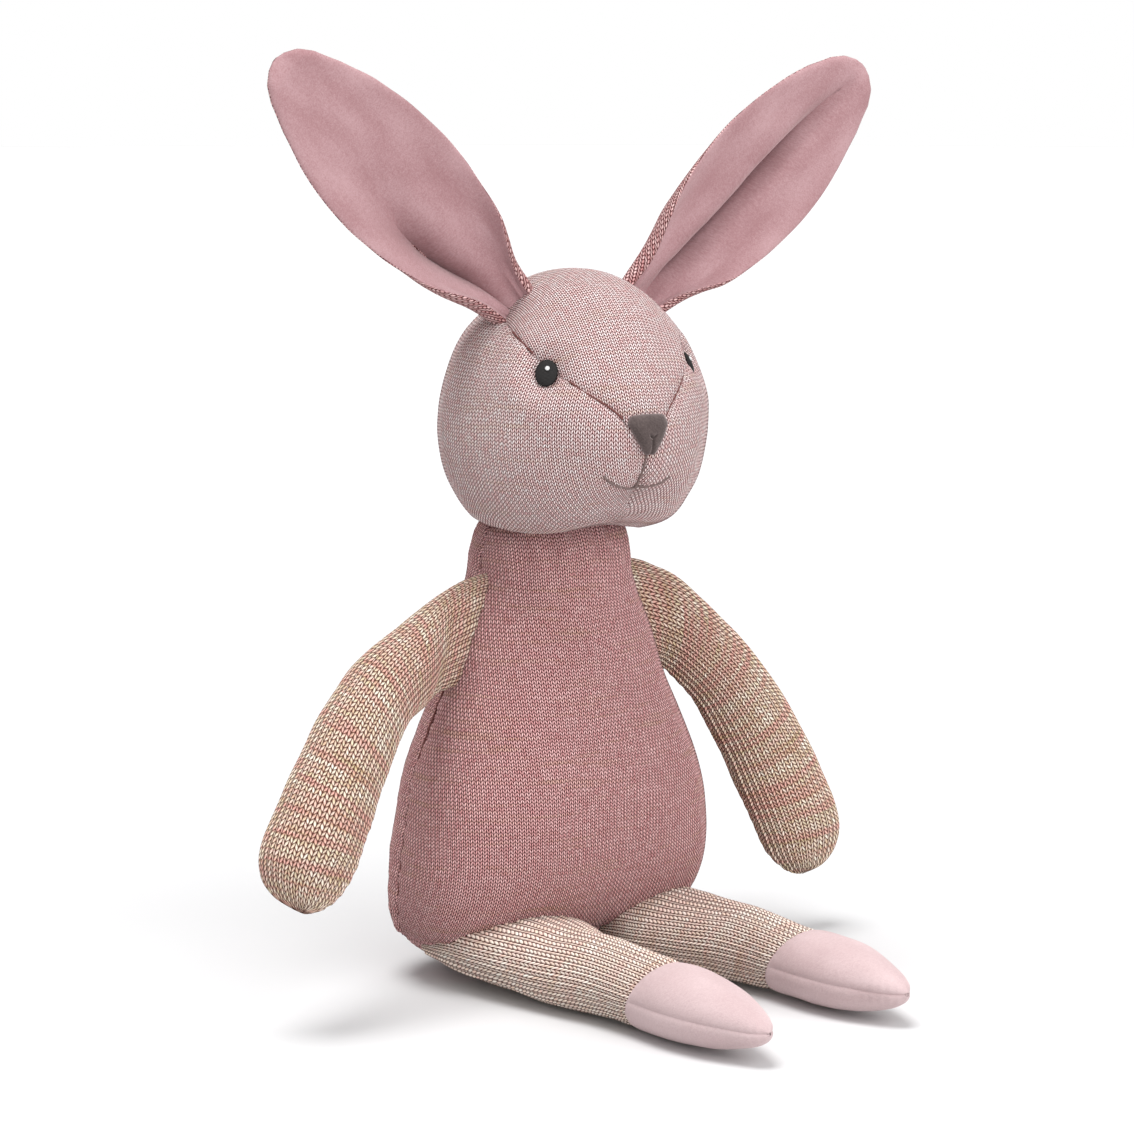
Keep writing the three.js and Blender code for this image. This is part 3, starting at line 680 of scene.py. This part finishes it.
def head():
    angles = np.linspace(-4, 165, 500)
    edge, _ = gusset_edge(angles)
    chin = on_head_along(fan(np.linspace(-4, -88, 220), 0.0))
    nape = on_head_along(fan(np.linspace(165, 268, 300), 0.0))
    start = on_head_along(fan(-4.0, np.linspace(-8, 8, 40)))
    end = on_head_along(fan(165.0, np.linspace(-13, 13, 60)))
    mirror = np.array([-1, 1, 1])
    seams = Seams(edge, edge * mirror, chin, nape, start, end)
    eyes = [on_head(way * EYE[name][0], EYE[name][1]) for name, way in SIDES]
    roots = [on_head(way * EAR_ROOT[0], EAR_ROOT[1]) for _, way in SIDES]

    def shape(cloth):
        """The face's modelling: seams drawn in, dimples at the eyes, chin cleft, ear roots."""
        p = cloth.points
        away, along = seams.near(p)
        under = fade(-p[:, 2], 14, 34) * (p[:, 1] < 0)
        depth = 1.5 + 2.6 * under
        width = 1.7 + 3.6 * under
        groove = -depth * np.exp(-((away / width) ** 0.8))
        ripple = np.sin(2 * math.pi * along / 4.6 + np.sin(along / 7))
        groove = groove + 0.22 * ripple * np.exp(-away / 5) * fade(away, 0, 1.2)
        soft = 0.7 * noise(p, 30, 3) + 0.35 * noise(p, 12, 4)
        for eye in eyes:
            far = np.linalg.norm(p - eye, axis=1)
            soft = soft - 3 * np.exp(-((far / 6.5) ** 2)) + 0.7 * np.exp(-(((far - 12) / 5) ** 2))
        for root in roots:
            far = np.linalg.norm(p - root, axis=1)
            soft = soft - 1.4 * np.exp(-((far / 8) ** 2))
        hold = fade(p[:, 2], -38, -30)
        cloth.lift((groove + soft) * hold + wales(cloth, 0.1))
        q = cloth.points
        q[:, 2] += (4.5 * np.exp(-((p[:, 0] / 17) ** 2)) * fade(-p[:, 2], 20, 42)
                    * fade(-p[:, 1], 4, 24))
        from_pivot = q - PIVOT_IN_HEAD
        far = np.linalg.norm(from_pivot, axis=1, keepdims=True)
        inside = far < HEAD_SOCKET_R
        cloth.points = np.where(inside, PIVOT_IN_HEAD + from_pivot / far * HEAD_SOCKET_R, q)
        return cloth

    rows = np.linspace(-4, 165, 100)
    _, reach = gusset_edge(rows)
    turns = np.linspace(-1, 1, 401)
    curves = on_head_along(fan(rows[:, None], reach[:, None] * turns))
    run = np.concatenate([[0], np.cumsum(np.linalg.norm(np.diff(curves[:, 200], axis=0), axis=1))])
    gusset = shape(even_columns(curves, np.full(len(rows), 200), lambda r: r[:, 0],
                                lambda r: r[:, -1], run))
    skin = [gusset.points.reshape(-1, 3)]
    gusset.points = in_row(gusset.points)
    show(gusset.make("head_gusset_panel", HEAD_KNIT), "head",
         ["head_gusset", "head_stuffing"])

    lats = np.concatenate([np.arange(-89, 40, 2.2), np.arange(40, 47.5, 0.6)])
    lons = np.linspace(0, 180, 1441)
    for name, way in SIDES:
        kept, ends = [], []
        for lat in lats:
            p = on_head(lons, lat)
            over = np.degrees(np.arctan2(p[:, 2], -p[:, 1])) % 360
            over = np.where(over > 300, over - 360, over)
            in_gusset = (over > -4) & (over < 165) & (p[:, 0] < look_up(GUSSET, over)[:, 0])
            if in_gusset[720]:
                break
            first = np.max(np.nonzero(in_gusset[:720])[0], initial=-1) + 1
            last = 720 + np.min(np.nonzero(in_gusset[720:])[0], initial=721) - 1
            kept.append(p)
            ends.append((first, last))
        curves = np.stack(kept) * [way, 1, 1]
        picks = np.array(ends)
        where = np.arange(len(kept))
        step = np.linalg.norm(np.diff(curves[:, 720], axis=0), axis=1)
        run = np.concatenate([[0], np.cumsum(step)])
        cloth = even_columns(curves, np.full(len(kept), 720), lambda r: r[where, picks[:, 0]],
                             lambda r: r[where, picks[:, 1]], run)
        if way < 0:
            cloth.flip()
        shape(cloth)
        skin.append(cloth.points.reshape(-1, 3))
        cloth.points = in_row(cloth.points)
        show(cloth.make("head_side_panel_" + name, HEAD_KNIT), "head",
             ["head_side_" + name])
    # Dark cords sunk along the gusset seams, left out round each eye: painted shade in the seam
    # grooves.
    for name, way in SIDES:
        line = edge[6:200] * [way, 1, 1]
        eye = on_head(way * EYE[name][0], EYE[name][1])
        clear = np.linalg.norm(line - eye, axis=1) > 8
        line *= 1 - 1.1 / np.linalg.norm(line, axis=1, keepdims=True)
        gap = np.nonzero(~clear)[0]
        for part, run in (("lower", line[:gap[0]]), ("upper", line[gap[-1] + 1:])):
            show(rope(in_row(run), 0.34, 9).make(f"face_seam_shade_{part}_{name}", SEAM_SHADE_CORD),
                 "head")
    face(np.concatenate(skin))


def patch(lon, lat, outline, rings, around, dome):
    """A closed pad on the head: outline gives its reach in degrees by angle, dome its height."""
    turn = np.linspace(0, 2 * math.pi, around + 1)
    share = np.linspace(0, 1, rings)
    reach = outline(turn)[None] * share[:, None]
    east = reach * np.cos(turn) / math.cos(math.radians(lat))
    north = reach * np.sin(turn)
    up = dome(share[:, None] + 0 * turn[None], east, north)
    top = on_head(lon + east, lat + north, up)
    tuck = on_head(lon + east[-1] * 0.97, lat + north[-1] * 0.97, -1.6)
    points = np.concatenate([top, tuck[None]])
    flat = np.stack([east, north], -1) * 0.8
    flat = np.concatenate([flat, flat[-1:] * 1.05])
    ids = np.arange(points.shape[0] * points.shape[1]).reshape(points.shape[:2])
    ids[:, -1] = ids[:, 0]
    ids[0] = ids[0, 0]
    cloth = Cloth(points, flat, ids)
    cloth.points = in_row(cloth.points)
    return cloth


def face(skin):
    """The nose, mouth and eyes, sewn to the finished skin of the head."""
    radii = np.linalg.norm(skin, axis=1)
    ways = skin / radii[:, None]
    corners = np.radians([30, 150, 270])

    def nose_outline(turn):
        nearest = np.max([np.cos(turn - c - math.pi / 3) for c in corners], axis=0)
        return 6.2 / np.maximum(nearest, 0.66) ** 0.85

    def nose_dome(share, east, north):
        body = 0.2 + 2.7 * np.sqrt(np.clip(1 - share**4, 0, 1))
        stem = np.exp(-((east / 0.5) ** 2)) * fade(-north, 1.5, 3.2)
        branch = np.exp(-(((north + 2.2 - 0.8 * np.abs(east)) / 0.5) ** 2))
        branch = branch * fade(1.9 - np.abs(east), 0, 1.2)
        return body - 1.2 * np.maximum(stem, branch)

    nose = patch(NOSE[0], NOSE[1], nose_outline, 40, 120, nose_dome)
    show(nose.make("nose_pad", NOSE_VELOUR), "head", ["nose"])

    def line(route, count, lift):
        """A thread's path at lift over the skin, through places given by longitude and latitude."""
        u = np.linspace(0, len(route) - 1, count)
        lonlat = through(route, u)
        way = way_to(lonlat[:, 0], lonlat[:, 1])
        near = np.argpartition(-(way @ ways.T), 6, axis=1)[:, :6]
        even = np.hanning(11) / np.hanning(11).sum()
        radius = np.convolve(np.pad(radii[near].mean(1), 5, "edge"), even, "valid")
        return in_row(way * (radius + lift)[:, None])

    smile = line([[-17.5, -23.4], [-11.5, -27.4], [-2, -30], [8, -28.4], [14, -25]], 100, 0.12)
    show(rope(smile, 0.42, 11).make("mouth_embroidery", GREY_THREAD), "head",
         ["mouth_stitch"])
    lip = line([[0, -14], [-0.6, -22], [-2, -30.2]], 60, 0.4)
    show(rope(lip, 0.45, 15).make("philtrum_embroidery", GREY_THREAD), "head",
         ["philtrum_stitch"])

    def satin(pitch, height):
        """A low mound of parallel threads with a raised rim."""
        def dome(share, east, north):
            threads = np.abs(np.sin(math.pi * (north + 0.25 * east) * 0.8 / pitch))
            rim = np.exp(-(((share - 0.93) / 0.05) ** 2))
            return height * np.sqrt(np.clip(1 - share**3, 0, 1)) + 0.1 * threads + 0.12 * rim - 2.3
        return dome

    for name, way in SIDES:
        lon, lat = EYE[name]
        wide, tall = EYE_REACH[name]
        eye = patch(way * lon, lat, lambda turn: 1 / np.hypot(np.cos(turn) / wide, np.sin(turn) / tall),
                    36, 90, satin(0.5, 1.2))
        show(eye.make("eye_embroidery_" + name, BLACK_THREAD), "head",
             ["eye_" + name])
        glint = patch(way * lon + 0.6, lat + 1.8, lambda turn: 1.05 + 0 * turn, 12, 40,
                      lambda share, east, north: -0.95 + 0.3 * np.sqrt(np.clip(1 - share**2, 0, 1))
                      + 0.06 * np.abs(np.sin(north * 5)))
        show(glint.make("eye_highlight_" + name, WHITE_THREAD), "head",
             ["eye_glint_" + name])


# ---- ears --------------------------------------------------------------------------------------
def ear(name, way):
    root = on_head(way * EAR_ROOT[0], EAR_ROOT[1], EAR_ROOT[2])
    lean = EAR_LEAN[name]
    rise = np.array([way * math.sin(lean), 0, math.cos(lean)])
    across = np.array([math.cos(lean), 0, -way * math.sin(lean)])
    forward = np.array([0.0, -1.0, 0.0])
    shares = -0.05 + 1.05 * (1 - np.cos(np.linspace(0, math.pi, 110))) / 2
    half, roll = look_up(EAR, shares).T[:, :, None]
    place, sink, width = look_up(EAR_CREASE[name], shares).T[:, :, None]
    fine = np.linspace(-1, 1, 301)
    turn = roll * fine * np.abs(fine) ** 1.3
    side, deep = (np.cumsum(wave(turn), 1) * (2 / 300) for wave in (np.cos, np.sin))
    side -= side[:, 150:151]
    deep -= deep[:, 150:151]
    reach = (side.max(1) - side.min(1))[:, None] / 2
    side = (side - (side.max(1) + side.min(1))[:, None] / 2) * half / reach
    deep = deep * half / reach
    deep -= deep.mean(1)[:, None]
    crease = sink * np.exp(-(((fine - place) / width) ** 2))

    def surface(v, lift, dip):
        """One face of the ear at each v from -1 to 1 across it, with its share of the crease."""
        low = deep - dip * crease
        turn = np.arctan2(np.gradient(low, axis=1), np.gradient(side, axis=1))
        a, b, t = (np.stack([np.interp(v, fine, row) for row in grid]) for grid in (side, low, turn))
        pleat = 0.5 * np.sin(v[None] * 13 + 1) * fade(0.14 - shares[:, None], 0, 0.14)
        lifted = lift + pleat
        a, b = a - np.sin(t) * lifted, b + np.cos(t) * lifted
        points = root + a[..., None] * across + b[..., None] * forward
        return points + (shares * EAR_LENGTH)[:, None, None] * rise

    def fall(v):
        """The ear's thickness at v from -1 to 1 across it, as a share of the most."""
        return np.sqrt(np.clip(1 - np.abs(v) ** 5, 0, 1))

    spread = np.sin(np.linspace(-math.pi / 2, math.pi / 2, 131))
    end = np.sqrt(np.clip((1.0 - shares[:, None]) / 0.05, 0.02, 1))
    rim = 0.35 * (spread[None] ** 8) * fade(0.45 - shares[:, None], 0, 0.3)
    run = np.cumsum(np.hypot(np.gradient(side, axis=1), np.gradient(deep, axis=1)), 1)
    run -= run[:, 150:151]
    flats = np.stack([np.stack([np.interp(spread, fine, row) for row in run]),
                      np.broadcast_to(shares[:, None] * EAR_LENGTH, (len(shares), 131))], -1)
    lining = Cloth(surface(spread, end * (EAR_THICK + 0.5) * fall(spread) - rim, 1), flats)
    back = Cloth(surface(spread, end * -EAR_THICK * fall(spread), 0.45), flats)
    # The backs take the darker, shaded copy of the head knit: painted shade.
    for cloth, kind, slot, material, size in (
            (lining, "lining", "velour", LINING, 0.35), (back, "back", "knit_head", SHADED_EAR_KNIT, 0.3)):
        if (kind == "lining") == (way > 0):
            cloth.flip()
        cloth.points += 0.9 * noise(cloth.points, 30, 6)[:, None] * forward
        cloth.lift(size * noise(cloth.points, 10, 5))
        cloth.points = in_row(cloth.points)
        bend = ("ear_" + name, in_row(root), in_row(root + rise * 14))
        show(cloth.make(f"ear_{name}_{kind}_panel", material), "head",
             [f"ear_{name}_{kind}"], bend)


# ---- arms and legs -----------------------------------------------------------------------------
def tube(rows, u, turn, flat):
    """Points on a stuffed tube: rows hold both edges and the half thickness, along flat."""
    values = through(rows, u)
    middle = (values[..., :3] + values[..., 3:6]) / 2
    side = (values[..., :3] - values[..., 3:6]) / 2
    thick = values[..., 6:7]
    return middle + side * np.cos(turn)[..., None] + flat * thick * np.sin(turn)[..., None]


def limb(rows, flat, start, end, wale_count, spacing, closed_end):
    """A knit or velour tube from start to end, each a place along the rows for each angle."""
    columns = wale_count * PER_WALE
    turn = np.linspace(0, 2 * math.pi, columns + 1)
    first, last = start(turn), end(turn)
    ends = through(rows, np.array([first.mean(), last.mean()]))
    length = np.linalg.norm((ends[0, :3] + ends[0, 3:6] - ends[1, :3] - ends[1, 3:6]) / 2)
    count = int(length / spacing) + 2
    share = np.linspace(0, 1, count)
    if closed_end:
        share = 1 - (1 - share) ** 1.25
    u = first + (last - first) * share[:, None]
    points = tube(rows, u, np.broadcast_to(turn, u.shape), flat)
    step = np.linalg.norm(np.diff(points.mean(1), axis=0), axis=1)
    run = np.concatenate([[0], np.cumsum(step)])
    flat_at = np.stack(np.broadcast_arrays(turn[None] / (2 * math.pi) * wale_count * WALE,
                                           run[:, None]), -1)
    ids = np.arange(points.shape[0] * points.shape[1]).reshape(points.shape[:2])
    ids[:, -1] = ids[:, 0]
    if closed_end:
        ids[-1] = ids[-1, 0]
    return Cloth(points, flat_at, ids), turn, u


def arm(name, way):
    rows = []
    for i, (xo, zo, xi, zi, thick, y) in enumerate(ARM):
        lift = math.radians(ARM_RAISE[name]) * min(1, max(0, i - 1) / 3)
        row = []
        for x, z in ((xo, zo), (xi, zi)):
            dx, dz = x - SHOULDER[0], z - SHOULDER[1]
            row += [way * (SHOULDER[0] + dx * math.cos(lift) - dz * math.sin(lift)), y,
                    SHOULDER[1] + dx * math.sin(lift) + dz * math.cos(lift)]
        rows.append(row + [thick])
    last = len(rows) - 1
    cloth, _, _ = limb(rows, np.array([0, -1, 0]), lambda t: 0 * t, lambda t: 0 * t + last,
                       54, 1.1, True)
    inner = tube(rows, np.linspace(0.6, last, 300), np.full(300, math.pi), np.array([0, -1, 0]))
    inner[:, 1] -= 1.5
    seam = Seams(inner)
    if way > 0:
        cloth.flip()
    p = cloth.points
    out = np.abs(p[:, 0]) - 38
    pleat = 0.25 * np.sin(p[:, 2] * 0.85 + 0.6 * noise(p, 9)) * fade(-out, -16, -1)
    soft = 0.9 * noise(p, 24, 8) + 0.4 * noise(p, 10, 9)
    drawn_in = seam.pull(p, 1.3, 2.4, 0.3)
    cloth.lift(soft * fade(out, 0, 12) + pleat + drawn_in + wales(cloth, 0.2, ARM_WALE))
    hinge = (way * 38.75, 0, 116.75)
    end = (way * (38.75 + 0.961 * 15), 0, 116.75 - 0.2765 * 15)
    show(cloth.make(f"arm_{name}_sleeve", MARL_KNIT), "torso",
         [f"arm_{name}_knit", f"arm_{name}_stuffing"], ("arm_" + name, hinge, end))


def leg(name, way):
    rows = []
    for i, (x, y, z, wide, thick) in enumerate(LEG):
        k = max(0, i - 1)
        yaw = math.radians(HIP_YAW) * max(0, 1 - k / 4)
        dx, dy = wide * math.cos(yaw), wide * math.sin(yaw)
        mx, my, mz = (d * min(1, k / 10) for d in LEG_SPLAY[name])
        row = []
        for side in (1, -1):
            row += [way * (x + mx + side * dx), y + my + side * dy, z + mz]
        rows.append(row + [thick])
    last = len(rows) - 1
    up = np.array([0, 0, 1])

    def ankle(turn):
        """Where the knit meets the foot: further forward on top than underneath."""
        return 6.85 + 0.42 * np.sin(turn)

    knit_part, _, _ = limb(rows, up, lambda t: 0 * t, lambda t: ankle(t) + 0.03, 52, 1.1, False)
    foot_part, _, _ = limb(rows, up, ankle, lambda t: 0 * t + last, 40, 0.55, True)
    ring_turn = np.linspace(0, 2 * math.pi, 400)
    ring = tube(rows, ankle(ring_turn), ring_turn, up)
    sides = [tube(rows, np.linspace(7, last, 200), np.full(200, a), up) for a in (0, math.pi)]
    cuff, toe = Seams(ring), Seams(ring, *sides)
    for cloth, kind in ((knit_part, "knit"), (foot_part, "foot")):
        if way < 0:
            cloth.flip()
        p = cloth.points
        soft = 0.6 * noise(p, 22, 10) + 0.35 * noise(p, 9, 11)
        if kind == "knit":
            soft = soft * fade(-p[:, 1], 18, 34)
            pleat = 0.5 * np.sin(p[:, 0] * 0.9) * fade(p[:, 1], -34, -16)
            cloth.lift(soft + pleat + cuff.pull(p, 0.9, 1.6, 0.25, 3.6) + wales(cloth, 0.22, LEG_WALE))
        else:
            tip = np.exp(-((np.linalg.norm(p - p[-1], axis=1) / 8) ** 2))
            cloth.lift(soft * 0.8 + 0.35 + toe.pull(p, 1.0, 1.5, 0.1, 3.1) - 0.2 * tip)
    hinge = (way * 27, -17, 13)
    end = (way * (27 + 0.26 * 18), -17 - 0.966 * 18, 13)
    show(knit_part.make(f"leg_{name}_tube", LEG_KNIT), "torso",
         [f"leg_{name}_knit", f"leg_{name}_stuffing"], ("leg_" + name, hinge, end))
    show(foot_part.make(f"foot_{name}_shell", FOOT_VELOUR), "leg_" + name,
         [f"foot_{name}_upper", f"foot_{name}_sole"])


torso()
neck()
head()
for side_name, side_way in SIDES:
    ear(side_name, side_way)
    arm(side_name, side_way)
    leg(side_name, side_way)


# ---- floor, light and camera -------------------------------------------------------------------
def floor():
    s = Shader("floor_paper", 0.9)
    s.shader.inputs["Base Color"].default_value = (0.625, 0.625, 0.63, 1)
    mesh = bpy.data.meshes.new("floor")
    mesh.from_pydata([(-6, -6, 0), (6, -6, 0), (6, 6, 0), (-6, 6, 0)], [], [(0, 1, 2, 3)])
    mesh.materials.append(s.material)
    item = bpy.data.objects.new("floor", mesh)
    bpy.context.scene.collection.objects.link(item)
    low = min(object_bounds()[0][2], 0.0)
    item.location.z = low - 0.0002
    item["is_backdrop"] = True
    glow = bpy.data.materials.new("backdrop_white")
    glow.use_nodes = True
    glow.node_tree.nodes.clear()
    emission = glow.node_tree.nodes.new("ShaderNodeEmission")
    output = glow.node_tree.nodes.new("ShaderNodeOutputMaterial")
    glow.node_tree.links.new(emission.outputs[0], output.inputs[0])
    bpy.ops.mesh.primitive_uv_sphere_add(segments=48, ring_count=24, radius=5.5)
    dome = bpy.context.object
    dome.name = "backdrop"
    dome.data.materials.append(glow)
    for ray in ("diffuse", "glossy", "transmission", "volume_scatter", "shadow"):
        setattr(dome, "visible_" + ray, False)
    dome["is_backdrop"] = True


def sun(name, toward, spread, power):
    """A wide, even light from the way given."""
    light = bpy.data.lights.new(name, "SUN")
    light.angle = math.radians(spread)
    light.energy = power
    item = bpy.data.objects.new(name, light)
    item.rotation_euler = Vector(toward).to_track_quat("Z", "Y").to_euler()
    bpy.context.scene.collection.objects.link(item)


def studio():
    world = bpy.data.worlds.new("studio")
    world.use_nodes = True
    world.node_tree.nodes["Background"].inputs[0].default_value = (1, 1, 1, 1)
    world.node_tree.nodes["Background"].inputs[1].default_value = 0.59
    bpy.context.scene.world = world
    sun("overhead_scrim", (-0.18, 0.05, 1), 30, 2.62)
    sun("front_scrim", (-0.02, -0.95, 0.42), 80, 2.84)


def camera():
    azimuth, elevation, distance = math.radians(-40), math.radians(8.9), 1.3
    back = Vector((math.sin(azimuth) * math.cos(elevation),
                   -math.cos(azimuth) * math.cos(elevation), math.sin(elevation)))
    right = Vector((math.cos(azimuth), math.sin(azimuth), 0))
    target = Vector((0, 0, 0.133)) + right * 0.0056
    data = bpy.data.cameras.new("camera")
    data.lens = 125.5
    data.sensor_width = 36
    data.clip_end = 20
    item = bpy.data.objects.new("camera", data)
    item.location = target + back * distance
    item.rotation_euler = back.to_track_quat("Z", "Y").to_euler()
    bpy.context.scene.collection.objects.link(item)
    bpy.context.scene.camera = item


floor()
studio()
camera()
bpy.context.scene.view_settings.view_transform = "Standard"
